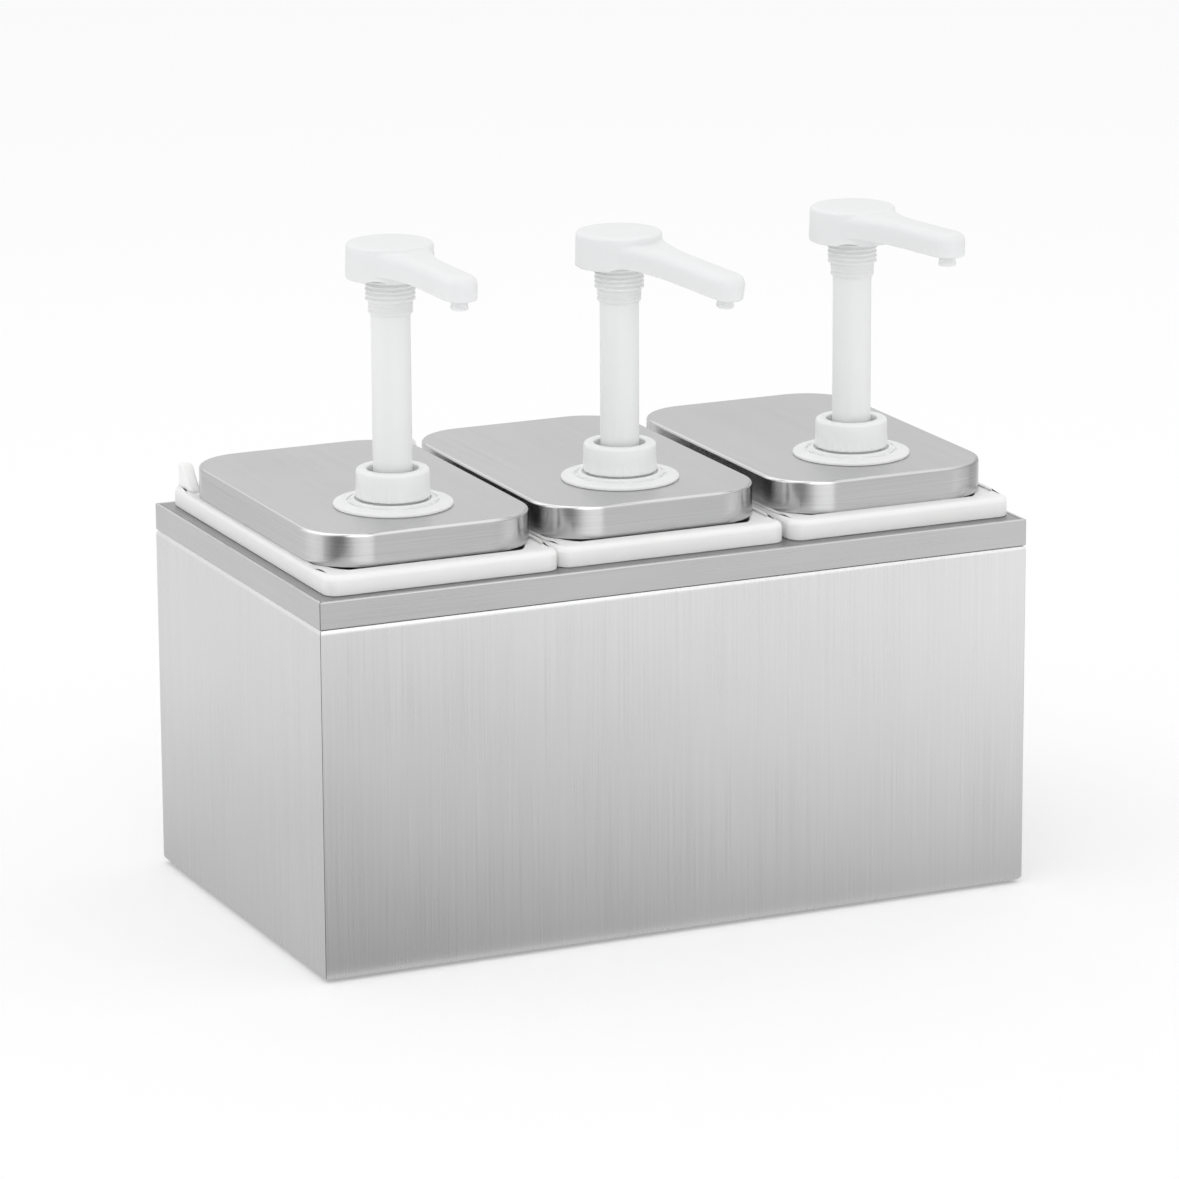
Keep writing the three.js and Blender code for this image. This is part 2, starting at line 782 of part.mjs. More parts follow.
function stationParts(station, index) {
  const tag = index + 1;
  const [wellX, wellY] = wellMiddle(index);
  const [x, y] = [wellX + station.slide[0], wellY + station.slide[1]];
  const tub = new THREE.Group();
  tub.position.set(x, y, 0);
  tub.add(named(`container_${tag}`, containerBody(), 'plastic'));

  const cover = new THREE.Group();
  cover.position.set(station.lidSlide[0], station.lidSlide[1], 0);
  cover.add(named(`lid_${tag}`, lidCover(station.pumpSlide), 'darkSteel'));

  const works = new THREE.Group();
  works.position.set(station.pumpSlide, -pump.forward, 0);
  works.add(named(`pump_flange_${tag}`, pumpFlange(), 'plastic'));
  works.add(named(`flange_gasket_${tag}`, flangeGasket(), 'seal'));
  works.add(named(`lid_nut_${tag}`, lidNut(), 'plastic'));
  works.add(named(`collar_${tag}`, collarCap(), 'plastic'));
  works.add(named(`barrel_${tag}`, pumpBarrel(), 'plastic'));
  works.add(named(`stem_bush_${tag}`, stemBush(), 'plastic'));
  works.add(named(`foot_valve_${tag}`, valveFoot(), 'plastic'));
  works.add(named(`inlet_ball_${tag}`, checkBall(inletSeat), 'steel'));
  works.add(named(`dip_tube_${tag}`, suctionTube(), 'plastic'));
  works.add(named(`return_spring_${tag}`, returnSpring(), 'steel'));
  works.add(named(`piston_${tag}`, pumpPiston(), 'seal'));
  works.add(named(`discharge_ball_${tag}`, checkBall(dischargeSeat), 'steel'));

  const turning = new THREE.Group();
  turning.rotation.z = THREE.MathUtils.degToRad(station.yaw);
  turning.add(named(`stem_${tag}`, pumpStem(station), 'plastic'));
  turning.add(named(`pump_head_${tag}`, pumpHead(station), 'plastic'));
  turning.add(named(`nozzle_${tag}`, nozzleInsert(station), 'plastic'));
  works.add(turning);

  cover.add(works);
  tub.add(cover);
  return tub;
}

const dispenser = new THREE.Group();
dispenser.add(named('housing_body', housingBody(), 'steel'));
dispenser.add(named('top_plate', topPlate(), 'darkSteel'));
footPlaces().forEach(([x, y], index) => {
  dispenser.add(named(`foot_${index + 1}`, footPad().translate(x, y, 0), 'rubber'));
});
stations.forEach((station, index) => dispenser.add(stationParts(station, index)));

// The spouts overhang the front, so the whole is moved to put its box's middle on the origin.
const extent = new THREE.Box3().setFromObject(dispenser, true);
dispenser.position.y = -(extent.min.y + extent.max.y) / 2;

export default dispenser;
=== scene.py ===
"""Looks of the three-station condiment pump dispenser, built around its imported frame."""

import math

import bmesh
import bpy
from mathutils import Matrix, Vector


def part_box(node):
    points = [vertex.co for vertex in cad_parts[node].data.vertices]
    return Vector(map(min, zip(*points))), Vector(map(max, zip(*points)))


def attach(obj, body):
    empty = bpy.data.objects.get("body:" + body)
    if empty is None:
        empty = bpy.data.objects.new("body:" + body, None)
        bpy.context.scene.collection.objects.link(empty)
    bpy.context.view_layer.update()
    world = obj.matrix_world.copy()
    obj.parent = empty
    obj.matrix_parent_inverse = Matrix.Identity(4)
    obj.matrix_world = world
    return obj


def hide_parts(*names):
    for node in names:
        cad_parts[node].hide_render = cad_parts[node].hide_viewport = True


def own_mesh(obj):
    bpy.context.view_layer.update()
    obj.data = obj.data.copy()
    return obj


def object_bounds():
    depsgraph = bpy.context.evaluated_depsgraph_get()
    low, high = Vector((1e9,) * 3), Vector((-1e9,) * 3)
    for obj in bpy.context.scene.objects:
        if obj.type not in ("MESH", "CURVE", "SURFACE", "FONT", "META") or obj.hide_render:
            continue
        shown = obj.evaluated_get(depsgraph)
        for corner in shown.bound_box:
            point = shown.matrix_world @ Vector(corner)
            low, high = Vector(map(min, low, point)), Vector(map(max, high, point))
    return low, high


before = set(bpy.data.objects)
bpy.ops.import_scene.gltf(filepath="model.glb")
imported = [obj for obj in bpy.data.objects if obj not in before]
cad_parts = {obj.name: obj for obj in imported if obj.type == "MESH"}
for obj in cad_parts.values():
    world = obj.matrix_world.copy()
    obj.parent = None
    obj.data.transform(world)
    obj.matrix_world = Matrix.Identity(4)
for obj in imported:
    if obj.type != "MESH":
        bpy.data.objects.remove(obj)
cad_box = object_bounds()

MM = 0.001
STATIONS = (1, 2, 3)
SMOOTH_ANGLE = math.radians(38)

# Fine round pieces, small round pieces, and the points on each rounded corner of a box.
ROUND = 96
SMALL_ROUND = 48
CORNER_STEPS = 10


# ------------------------------------------------------------------ camera, light and floor

CAMERA_FROM_CORNER = Vector((-1162.9, -2903.1, 1036.2)) * MM
AZIMUTH, ELEVATION, ROLL = -24.48, 14.64, -0.31
LENS = 184.1


def add_camera():
    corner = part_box("housing_body")[0]
    data = bpy.data.cameras.new("camera")
    data.lens = LENS
    data.sensor_width = 36
    data.clip_end = 30
    camera = bpy.data.objects.new("camera", data)
    turn = (
        Matrix.Rotation(math.radians(AZIMUTH), 4, "Z")
        @ Matrix.Rotation(math.radians(90 - ELEVATION), 4, "X")
        @ Matrix.Rotation(math.radians(ROLL), 4, "Z")
    )
    camera.matrix_world = Matrix.Translation(corner + CAMERA_FROM_CORNER) @ turn
    bpy.context.collection.objects.link(camera)
    bpy.context.scene.camera = camera


# What polished faces reflect round the horizon: degrees from +X, then the brightness there.
STUDIO_RING = (
    (0, 0.5), (30, 0.55), (65, 0.76), (92, 0.86), (112, 0.76), (124, 1.1), (160, 1.22), (178, 1.1),
    (190, 0.85), (203, 0.5), (213, 0.3), (226, 0.3), (238, 0.8), (250, 1.35), (268, 1.5), (283, 1.4),
    (290, 0.95), (295, 0.79), (320, 0.7), (345, 0.62), (360, 0.5),
)
# How that brightness changes from straight down to straight up.
STUDIO_RISE = ((-1, 0.8), (-0.2, 1.0), (0.28, 1.0), (0.5, 1.6), (0.8, 1.9), (1, 1.9))

# Brightness of the even white light on dull faces.
SKY_LIGHT = 0.94


def ramp(nodes, stops, low, high):
    node = nodes.new("ShaderNodeValToRGB")
    elements = node.color_ramp.elements
    while len(elements) < len(stops):
        elements.new(0.5)
    for element, (place, value) in zip(elements, stops):
        element.position = (place - low) / (high - low)
        element.color = (value, value, value, 1)
    return node


def add_studio():
    world = bpy.data.worlds.new("studio")
    bpy.context.scene.world = world
    world.use_nodes = True
    nodes, links = world.node_tree.nodes, world.node_tree.links
    place = nodes.new("ShaderNodeTexCoord")
    split = nodes.new("ShaderNodeSeparateXYZ")
    links.new(place.outputs["Generated"], split.inputs[0])
    angle = nodes.new("ShaderNodeMath")
    angle.operation = "ARCTAN2"
    links.new(split.outputs["Y"], angle.inputs[0])
    links.new(split.outputs["X"], angle.inputs[1])
    share = nodes.new("ShaderNodeMath")
    share.operation = "DIVIDE"
    links.new(angle.outputs[0], share.inputs[0])
    share.inputs[1].default_value = 2 * math.pi
    whole = nodes.new("ShaderNodeMath")
    whole.operation = "FLOORED_MODULO"
    links.new(share.outputs[0], whole.inputs[0])
    whole.inputs[1].default_value = 1
    ring = ramp(nodes, STUDIO_RING, 0, 360)
    links.new(whole.outputs[0], ring.inputs[0])
    height = nodes.new("ShaderNodeMapRange")
    height.inputs["From Min"].default_value = -1
    links.new(split.outputs["Z"], height.inputs["Value"])
    rise = ramp(nodes, STUDIO_RISE, -1, 1)
    links.new(height.outputs[0], rise.inputs[0])
    mix = nodes.new("ShaderNodeMix")
    mix.data_type = "RGBA"
    mix.blend_type = "MULTIPLY"
    mix.inputs["Factor"].default_value = 1
    links.new(ring.outputs[0], mix.inputs["A"])
    links.new(rise.outputs[0], mix.inputs["B"])
    ray = nodes.new("ShaderNodeLightPath")
    seen = nodes.new("ShaderNodeMix")
    seen.data_type = "RGBA"
    seen.inputs["A"].default_value = (SKY_LIGHT, SKY_LIGHT, SKY_LIGHT, 1)
    links.new(ray.outputs["Is Glossy Ray"], seen.inputs["Factor"])
    links.new(mix.outputs["Result"], seen.inputs["B"])
    links.new(seen.outputs["Result"], nodes["Background"].inputs["Color"])


def add_softbox(name, place, size, power, aim=(0, 0, 0.15)):
    data = bpy.data.lights.new(name, "AREA")
    data.shape = "DISK"
    data.size = size
    data.energy = power
    light = bpy.data.objects.new(name, data)
    light.location = place
    light.rotation_euler = (Vector(aim) - Vector(place)).to_track_quat("-Z", "Y").to_euler()
    bpy.context.collection.objects.link(light)


def add_floor():
    bm = bmesh.new()
    half = 6
    corners = [bm.verts.new((x * half, y * half, 0)) for x, y in ((-1, -1), (1, -1), (1, 1), (-1, 1))]
    bm.faces.new(corners)
    mesh = bpy.data.meshes.new("floor")
    bm.to_mesh(mesh)
    bm.free()
    floor = bpy.data.objects.new("floor", mesh)
    bpy.context.collection.objects.link(floor)
    material = bpy.data.materials.new("floor")
    material.use_nodes = True
    shader = material.node_tree.nodes["Principled BSDF"]
    shader.inputs["Base Color"].default_value = (1, 1, 1, 1)
    shader.inputs["Roughness"].default_value = 1
    shader.inputs["Specular IOR Level"].default_value = 0
    mesh.materials.append(material)
    floor.visible_glossy = False


# Brightness of the reflector card round the foot: metres from the body, then the value there.
CARD_FADE = ((0, 0.58), (0.06, 0.63), (0.2, 0.73), (0.38, 0.83), (0.57, 0.84), (0.78, 0.84))
CARD_REACH = 0.78
CARD_SLOPE = 0.66


def add_reflector_card():
    """A card that only reflections see: the steel panels grow darker towards the worktop."""
    low, high = cad_box
    bm = bmesh.new()
    x, y = high[0] + CARD_REACH, high[1] + CARD_REACH
    corners = [bm.verts.new((sx * x, sy * y, 0.0004)) for sx, sy in ((-1, -1), (1, -1), (1, 1), (-1, 1))]
    bm.faces.new(corners)
    mesh = bpy.data.meshes.new("reflector_card")
    bm.to_mesh(mesh)
    bm.free()
    card = bpy.data.objects.new("reflector_card", mesh)
    bpy.context.collection.objects.link(card)
    material = bpy.data.materials.new("reflector_card")
    material.use_nodes = True
    nodes, links = material.node_tree.nodes, material.node_tree.links
    place = nodes.new("ShaderNodeTexCoord")
    split = nodes.new("ShaderNodeSeparateXYZ")
    links.new(place.outputs["Object"], split.inputs[0])

    def maths(operation, first, second):
        node = nodes.new("ShaderNodeMath")
        node.operation = operation
        for slot, source in zip(node.inputs, (first, second)):
            if isinstance(source, float):
                slot.default_value = source
            else:
                links.new(source, slot)
        return node.outputs[0]

    away_x = maths("SUBTRACT", maths("ABSOLUTE", split.outputs["X"], 0.0), float(high[0]))
    away_y = maths("SUBTRACT", maths("ABSOLUTE", split.outputs["Y"], 0.0), float(high[1]))
    fade = ramp(nodes, CARD_FADE, 0, CARD_REACH)
    links.new(maths("DIVIDE", maths("MAXIMUM", away_x, away_y), CARD_REACH), fade.inputs[0])
    in_front = maths("LESS_THAN", split.outputs["Y"], float(low[1]))
    slope = maths("MULTIPLY", maths("SUBTRACT", split.outputs["X"], 0.33), CARD_SLOPE)
    strength = maths("MULTIPLY", fade.outputs[0], maths("ADD", maths("MULTIPLY", slope, in_front), 1.0))
    glow = nodes.new("ShaderNodeEmission")
    links.new(strength, glow.inputs["Strength"])
    links.new(glow.outputs[0], nodes["Material Output"].inputs["Surface"])
    mesh.materials.append(material)
    card.visible_camera = False
    card.visible_diffuse = False
    card.visible_shadow = False
    card.visible_transmission = False


# ------------------------------------------------------------------ materials


class Nodes:
    """A material's node tree with the few links that every finish here needs."""

    def __init__(self, name):
        self.material = bpy.data.materials.new(name)
        self.material.use_nodes = True
        self.tree = self.material.node_tree
        self.shader = self.tree.nodes["Principled BSDF"]
        self.place = self.tree.nodes.new("ShaderNodeTexCoord").outputs["Object"]

    def link(self, source, target):
        self.tree.links.new(source, target)

    def noise(self, scale, stretch=(1, 1, 1), detail=4, roughness=0.55):
        mapping = self.tree.nodes.new("ShaderNodeMapping")
        mapping.inputs["Scale"].default_value = stretch
        self.link(self.place, mapping.inputs["Vector"])
        node = self.tree.nodes.new("ShaderNodeTexNoise")
        node.inputs["Scale"].default_value = scale
        node.inputs["Detail"].default_value = detail
        node.inputs["Roughness"].default_value = roughness
        self.link(mapping.outputs[0], node.inputs["Vector"])
        return node.outputs["Fac"]

    def range(self, source, low, high, start=0.3, end=0.7):
        node = self.tree.nodes.new("ShaderNodeMapRange")
        node.inputs["From Min"].default_value = start
        node.inputs["From Max"].default_value = end
        node.inputs["To Min"].default_value = low
        node.inputs["To Max"].default_value = high
        self.link(source, node.inputs["Value"])
        return node.outputs[0]

    def times(self, first, second):
        node = self.tree.nodes.new("ShaderNodeMath")
        node.operation = "MULTIPLY"
        self.link(first, node.inputs[0])
        self.link(second, node.inputs[1])
        return node.outputs[0]

    def colour(self, base, factor):
        """The base colour, brightened or darkened by a factor that varies over the surface."""
        node = self.tree.nodes.new("ShaderNodeVectorMath")
        node.operation = "SCALE"
        node.inputs[0].default_value = base
        self.link(factor, node.inputs["Scale"])
        self.link(node.outputs[0], self.shader.inputs["Base Color"])

    def bump(self, height, distance, strength=1.0):
        node = self.tree.nodes.new("ShaderNodeBump")
        node.inputs["Distance"].default_value = distance
        node.inputs["Strength"].default_value = strength
        self.link(height, node.inputs["Height"])
        self.link(node.outputs[0], self.shader.inputs["Normal"])


GRAIN_FINE = 1100
GRAIN_LONG = 9


def brushed_steel(name, base, grain, roughness=0.34, anisotropy=0.0, marks=0.02, depth=0.03):
    """Brushed sheet: fine scratches along the named axes, faint clouding and small handling marks."""
    made = Nodes(name)
    stretch = [GRAIN_LONG if axis in grain else GRAIN_FINE for axis in "XYZ"]
    scratches = made.noise(1, stretch, detail=3)
    coarse = made.noise(1, [value / 4 for value in stretch], detail=2)
    clouds = made.noise(9, detail=3)
    tone = made.times(made.range(scratches, 1 - depth, 1 + depth), made.range(coarse, 0.992, 1.008))
    tone = made.times(tone, made.range(clouds, 1 - marks, 1 + marks))
    made.colour((base, base, base * 1.003), tone)
    rough = made.times(
        made.range(scratches, roughness * 0.85, roughness * 1.15), made.range(clouds, 0.94, 1.06)
    )
    made.link(rough, made.shader.inputs["Roughness"])
    made.shader.inputs["Metallic"].default_value = 1
    made.bump(scratches, 0.000006)
    if anisotropy:
        upright = made.tree.nodes.new("ShaderNodeCombineXYZ")
        upright.inputs["Z"].default_value = 1
        made.link(upright.outputs[0], made.shader.inputs["Tangent"])
        made.shader.inputs["Anisotropic"].default_value = anisotropy
        made.shader.inputs["Anisotropic Rotation"].default_value = 0.25 if grain == "Z" else 0
    return made.material


def white_plastic(name, base, roughness=0.42, depth=0.004):
    """Moulded polyolefin: light passes a little way in, with a faint satin texture and flow marks."""
    made = Nodes(name)
    texture = made.noise(1600, detail=2)
    flow = made.noise(22, (1, 1, 0.4), detail=3)
    made.colour(base, made.range(flow, 0.985, 1.01))
    made.shader.inputs["Specular IOR Level"].default_value = 0.3
    made.link(made.range(texture, roughness - 0.05, roughness + 0.05), made.shader.inputs["Roughness"])
    made.shader.inputs["Subsurface Weight"].default_value = 0.4
    made.shader.inputs["Subsurface Scale"].default_value = depth
    made.shader.inputs["Subsurface Radius"].default_value = (1, 1, 1)
    made.shader.inputs["IOR"].default_value = 1.5
    made.bump(made.times(texture, made.range(flow, 0.7, 1.3)), 0.00001)
    return made.material


def soft_rubber(name, base, roughness):
    made = Nodes(name)
    grain = made.noise(900, detail=3)
    dust = made.noise(60, detail=4)
    made.colour(base, made.range(dust, 0.9, 1.15))
    made.link(made.range(grain, roughness - 0.08, roughness + 0.08), made.shader.inputs["Roughness"])
    made.bump(grain, 0.00004)
    return made.material


def bright_steel(name):
    made = Nodes(name)
    made.colour((0.78, 0.78, 0.79), made.range(made.noise(120), 0.95, 1.03))
    made.link(made.range(made.noise(400), 0.12, 0.22), made.shader.inputs["Roughness"])
    made.shader.inputs["Metallic"].default_value = 1
    made.bump(made.noise(700), 0.000006)
    return made.material


BODY_STEEL = brushed_steel("body_steel", 0.80, "Z", 0.3, 0.5)
BAND_STEEL = brushed_steel("band_steel", 0.60, "XY", 0.3, 0.5)
# The top sheet's steel is far darker than the skirt's band steel: partly a darker sheet, partly painted
# shade from the container rims that stand over it.
PLATE_STEEL_WITH_PAINTED_SHADE = brushed_steel("plate_steel", 0.34, "X", 0.34)
LID_TOP_STEEL = brushed_steel("lid_top_steel", 0.55, "Y", 0.34, marks=0.012, depth=0.015)
LID_SIDE_STEEL = brushed_steel("lid_side_steel", 0.58, "XY", 0.2, 0.8, depth=0.04)
CONTAINER_PLASTIC = white_plastic("container_plastic", (0.92, 0.92, 0.915))
# The pump's plastic is lighter than the cap's, though both are the same white: painted light that lifts the
# stem, collar, flange and thread out of the shade under the cap and round the lid.
PUMP_PLASTIC_PAINTED_LIGHT = white_plastic("pump_plastic", (0.88, 0.885, 0.885), 0.38)
CAP_PLASTIC = white_plastic("cap_plastic", (0.82, 0.825, 0.83), 0.38)
SEAL_PLASTIC = soft_rubber("seal_plastic", (0.82, 0.82, 0.80), 0.6)
FOOT_RUBBER = soft_rubber("foot_rubber", (0.03, 0.03, 0.03), 0.7)
BALL_STEEL = bright_steel("ball_steel")


# ------------------------------------------------------------------ mesh helpers


def finish_piece(name, bm, materials, body, nodes, weighted=True):
    """Makes the bmesh an object that rides on a body, hides the CAD nodes it stands for and takes the given
    materials.
    """
    bmesh.ops.recalc_face_normals(bm, faces=bm.faces)
    mesh = bpy.data.meshes.new(name)
    bm.to_mesh(mesh)
    bm.free()
    for material in materials:
        mesh.materials.append(material)
    mesh.shade_smooth()
    mesh.set_sharp_from_angle(angle=SMOOTH_ANGLE)
    piece = bpy.data.objects.new(name, mesh)
    bpy.context.collection.objects.link(piece)
    if weighted:
        piece.modifiers.new("weights", "WEIGHTED_NORMAL").keep_sharp = True
    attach(piece, body)
    if nodes:
        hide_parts(*nodes)
    return piece


def loft(bm, rings, closed=False, caps=True, material=0):
    """Joins rings of equally many points into a skin; closed joins the last ring to the first."""
    rows = [[bm.verts.new(point) for point in ring] for ring in rings]
    pairs = list(zip(rows, rows[1:]))
    if closed:
        pairs.append((rows[-1], rows[0]))
    for low, high in pairs:
        count = len(low)
        for i in range(count):
            j = (i + 1) % count
            face = bm.faces.new((low[i], low[j], high[j], high[i]))
            face.material_index = material
    if caps and not closed:
        bm.faces.new(rows[0]).material_index = material
        bm.faces.new(list(reversed(rows[-1]))).material_index = material


def filleted(points, steps=4, closed=True):
    """A 2-D outline from (x, y, radius) corners, each corner rounded by an arc of its radius."""
    outline = []
    count = len(points)
    for i, (x, y, radius) in enumerate(points):
        here = Vector((x, y))
        at_end = not closed and i in (0, count - 1)
        if radius <= 0 or at_end:
            outline.append(here)
            continue
        before = Vector(points[i - 1][:2]) - here
        after = Vector(points[(i + 1) % count][:2]) - here
        back, ahead = before.normalized(), after.normalized()
        half = back.angle(ahead) / 2
        if half > math.radians(88):
            outline.append(here)
            continue
        reach = min(radius / math.tan(half), before.length * 0.49, after.length * 0.49)
        radius = reach * math.tan(half)
        middle = here + (back + ahead).normalized() * (radius / math.sin(half))
        first, last = here + back * reach - middle, here + ahead * reach - middle
        sweep = first.angle_signed(last)
        for step in range(steps + 1):
            turn = Matrix.Rotation(-sweep * step / steps, 2)
            outline.append(middle + turn @ first)
    return outline


def lathe(bm, profile, centre, sides=ROUND, steps=3, vary=None, material=0):
    """Turns (radius, height, fillet) corners in millimetres about a vertical axis at centre.
    A profile that starts and ends on the axis is solid; any other closes on itself."""
    solid = profile[0][0] == 0 and profile[-1][0] == 0
    outline = filleted(profile, steps, closed=not solid)
    if solid:
        outline = outline[1:-1]
    rings = []
    for radius, height in outline:
        ring = []
        for i in range(sides):
            angle = 2 * math.pi * i / sides
            r, z = vary(angle, radius, height) if vary else (radius, height)
            spot = Vector((r * math.cos(angle), r * math.sin(angle), z)) * MM
            ring.append(spot + Vector((centre[0], centre[1], 0)))
        rings.append(ring)
    loft(bm, rings, closed=not solid, caps=solid, material=material)


def rounded_ring(centre, width, depth, corner, height, steps=CORNER_STEPS):
    """Points of a rounded rectangle, sizes in millimetres, centre in metres."""
    ring = []
    for quarter, (sx, sy) in enumerate(((1, 1), (-1, 1), (-1, -1), (1, -1))):
        for step in range(steps + 1):
            angle = (quarter + step / steps) * math.pi / 2
            x = sx * (width / 2 - corner) + corner * math.cos(angle)
            y = sy * (depth / 2 - corner) + corner * math.sin(angle)
            ring.append(Vector((x, y, height)) * MM + Vector((centre[0], centre[1], 0)))
    return ring


def middle_of(node):
    low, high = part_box(node)
    return (low + high) / 2


def bottom_of(node):
    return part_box(node)[0].z / MM


def top_of(node):
    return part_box(node)[1].z / MM


def size_of(node):
    low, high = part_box(node)
    return (high - low) / MM


# ------------------------------------------------------------------ housing

SHEET = 1.0
BEND = 3.2
LIP = 8
BODY_SEAM = 0.4
PLATE_BEND = 0.6
PLATE_SHEET = 1.2
PLATE_FOLD = 1.9      # flat of the folded skirt on top
PLATE_JOINT = 0.45    # open joint between that flat and the sheet inside it
SKIRT_SEAM = 0.5
HOUSING_MIDDLE = middle_of("housing_body")


def wall(bm, section, length, half_depth, turn, seam):
    """A bent strip with mitred ends: section is (inward, height) in millimetres."""
    rings = []
    for side in (-1, 1):
        ring = []
        for inward, height in section:
            along = side * (length / 2 - seam / 2 - inward)
            ring.append(Vector((along, -half_depth + inward, height)) * MM)
        rings.append(ring)
    spin = Matrix.Rotation(turn * math.pi / 2, 4, "Z")
    shift = Matrix.Translation((HOUSING_MIDDLE.x, HOUSING_MIDDLE.y, 0))
    loft(bm, [[shift @ spin @ point for point in ring] for ring in rings])


def channel_section(bottom, top):
    """Outer skin and inner skin of a wall with an inward lip at its top and bottom."""
    outer = [
        (LIP, bottom, 0), (0, bottom, BEND), (0, top - 2.3, 3), (0.75, top - 0.35, 0.4),
        (1.2, top, 0.3), (LIP, top, 0),
    ]
    inner = [
        (LIP, top - SHEET, 0), (SHEET, top - SHEET, BEND - SHEET),
        (SHEET, bottom + SHEET, BEND - SHEET), (LIP, bottom + SHEET, 0),
    ]
    return filleted(outer + inner, steps=6)


def make_housing():
    size = size_of("housing_body")
    bottom, top = bottom_of("housing_body"), top_of("housing_body")
    bm = bmesh.new()
    section = channel_section(bottom, top)
    for turn in range(4):
        length, half = (size.x, size.y / 2) if turn % 2 == 0 else (size.y, size.x / 2)
        wall(bm, section, length, half, turn, BODY_SEAM)
    finish_piece("body_walls", bm, [BODY_STEEL], "housing", ["housing_body"])
    bm = bmesh.new()
    inset = 2 * (LIP - 3)
    rings = [
        rounded_ring(HOUSING_MIDDLE, size.x - inset, size.y - inset, 2, z)
        for z in (bottom + 0.05, bottom + SHEET - 0.05)
    ]
    loft(bm, rings)
    floor = finish_piece("body_floor", bm, [BODY_STEEL], "housing", [])
    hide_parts("housing_body")


def outline_spline(curve, ring):
    spline = curve.splines.new("POLY")
    spline.points.add(len(ring) - 1)
    for point, place in zip(spline.points, ring):
        point.co = (place.x, place.y, 0, 1)
    spline.use_cyclic_u = True


def curve_mesh(curve, name):
    """The filled and bevelled curve as a mesh object of its own."""
    source = bpy.data.objects.new(name, curve)
    bpy.context.collection.objects.link(source)
    mesh = bpy.data.meshes.new_from_object(source.evaluated_get(bpy.context.evaluated_depsgraph_get()))
    bpy.data.objects.remove(source)
    bpy.data.curves.remove(curve)
    return mesh


WELL_PLAY = 3.5
TUB_LEDGE = 8
TUB_CORNER = 20
EDGE_ROUND = 0.35
PITCH = 140
WELL_SHIFT = 3


def make_top_plate():
    size = size_of("top_plate")
    bottom, top = bottom_of("top_plate"), top_of("top_plate")
    rim = size_of("container_1")
    curve = bpy.data.curves.new("plate_outline", "CURVE")
    curve.dimensions = "2D"
    curve.fill_mode = "BOTH"
    curve.bevel_depth = EDGE_ROUND * MM
    curve.bevel_resolution = 2
    curve.extrude = (PLATE_SHEET / 2 - EDGE_ROUND) * MM
    edge = 2 * (PLATE_FOLD + PLATE_JOINT + EDGE_ROUND)
    outline_spline(curve, rounded_ring(HOUSING_MIDDLE, size.x - edge, size.y - edge, 0.6, 0, 2))
    width = rim.x - 2 * TUB_LEDGE + 2 * (WELL_PLAY + EDGE_ROUND)
    depth = rim.y - 2 * TUB_LEDGE + 2 * (WELL_PLAY + EDGE_ROUND)
    for station in STATIONS:
        centre = HOUSING_MIDDLE + Vector(((station - 2) * PITCH, WELL_SHIFT, 0)) * MM
        outline_spline(curve, rounded_ring(centre, width, depth, TUB_CORNER + WELL_PLAY, 0))
    mesh = curve_mesh(curve, "plate_outline")
    bm = bmesh.new()
    bm.from_mesh(mesh)
    bmesh.ops.translate(bm, verts=bm.verts, vec=(0, 0, (top - PLATE_SHEET / 2) * MM))
    bpy.data.meshes.remove(mesh)
    # The top sheet takes the steel that carries painted shade.
    finish_piece("top_sheet", bm, [PLATE_STEEL_WITH_PAINTED_SHADE], "housing", ["top_plate"])
    section = filleted(
        [
            (PLATE_FOLD, top, 0.2), (0, top, PLATE_BEND), (0, bottom, 0.3),
            (PLATE_SHEET, bottom, 0.3), (PLATE_SHEET, top - PLATE_SHEET, 0.2),
            (PLATE_FOLD, top - PLATE_SHEET, 0.2),
        ],
        steps=5,
    )
    bm = bmesh.new()
    for turn in range(4):
        length, half = (size.x, size.y / 2) if turn % 2 == 0 else (size.y, size.x / 2)
        wall(bm, section, length, half, turn, SKIRT_SEAM)
    skirt = finish_piece("plate_skirt", bm, [BAND_STEEL], "housing", [])
    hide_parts("top_plate")


def make_feet():
    for number in range(1, 5):
        node = f"foot_{number}"
        centre, radius = middle_of(node), size_of(node).x / 2
        bm = bmesh.new()
        pad = [(0, 0, 0), (radius, 0, 0.6), (radius, 1.4, 0.3), (3.5, 1.4, 0.2), (3.5, 5, 0.5), (0, 5, 0)]
        lathe(bm, pad,
              centre, SMALL_ROUND)
        finish_piece(f"foot_pad_{number}", bm, [FOOT_RUBBER], "housing", [node])


# ------------------------------------------------------------------ containers and lids

RIM_HEIGHT = 11.5
RIM_EDGE = 3.4
RIM_CORNER = 8
LAND_DROP = 0.9
CONTAINER_WALL = 2.5
TUB_DRAFT = 4
CONTAINER_FLOOR = 3
LID_PLAY_X = 1
LID_PLAY_Y = 3
LID_CORNER = 32
LID_EDGE = 1.8
LID_SHEET = 1
LUG = {"width": 6.6, "top": 6.5, "foot": 18.8, "height": 13.3, "side": 3, "back": 4}


def container_middle(station):
    return middle_of(f"container_{station}")


def arc_rings(centre, width, depth, corner, edge, height, steps, outward=True):
    """Rings round an outer upper edge, from the side at height - edge to the top at height."""
    rings = []
    for step in range(steps + 1):
        angle = math.pi / 2 * step / steps
        inset = edge * (1 - math.cos(angle))
        z = height - edge + edge * math.sin(angle)
        rings.append(rounded_ring(centre, width - 2 * inset, depth - 2 * inset, max(corner - inset, 0.5), z))
    return rings if outward else rings[::-1]


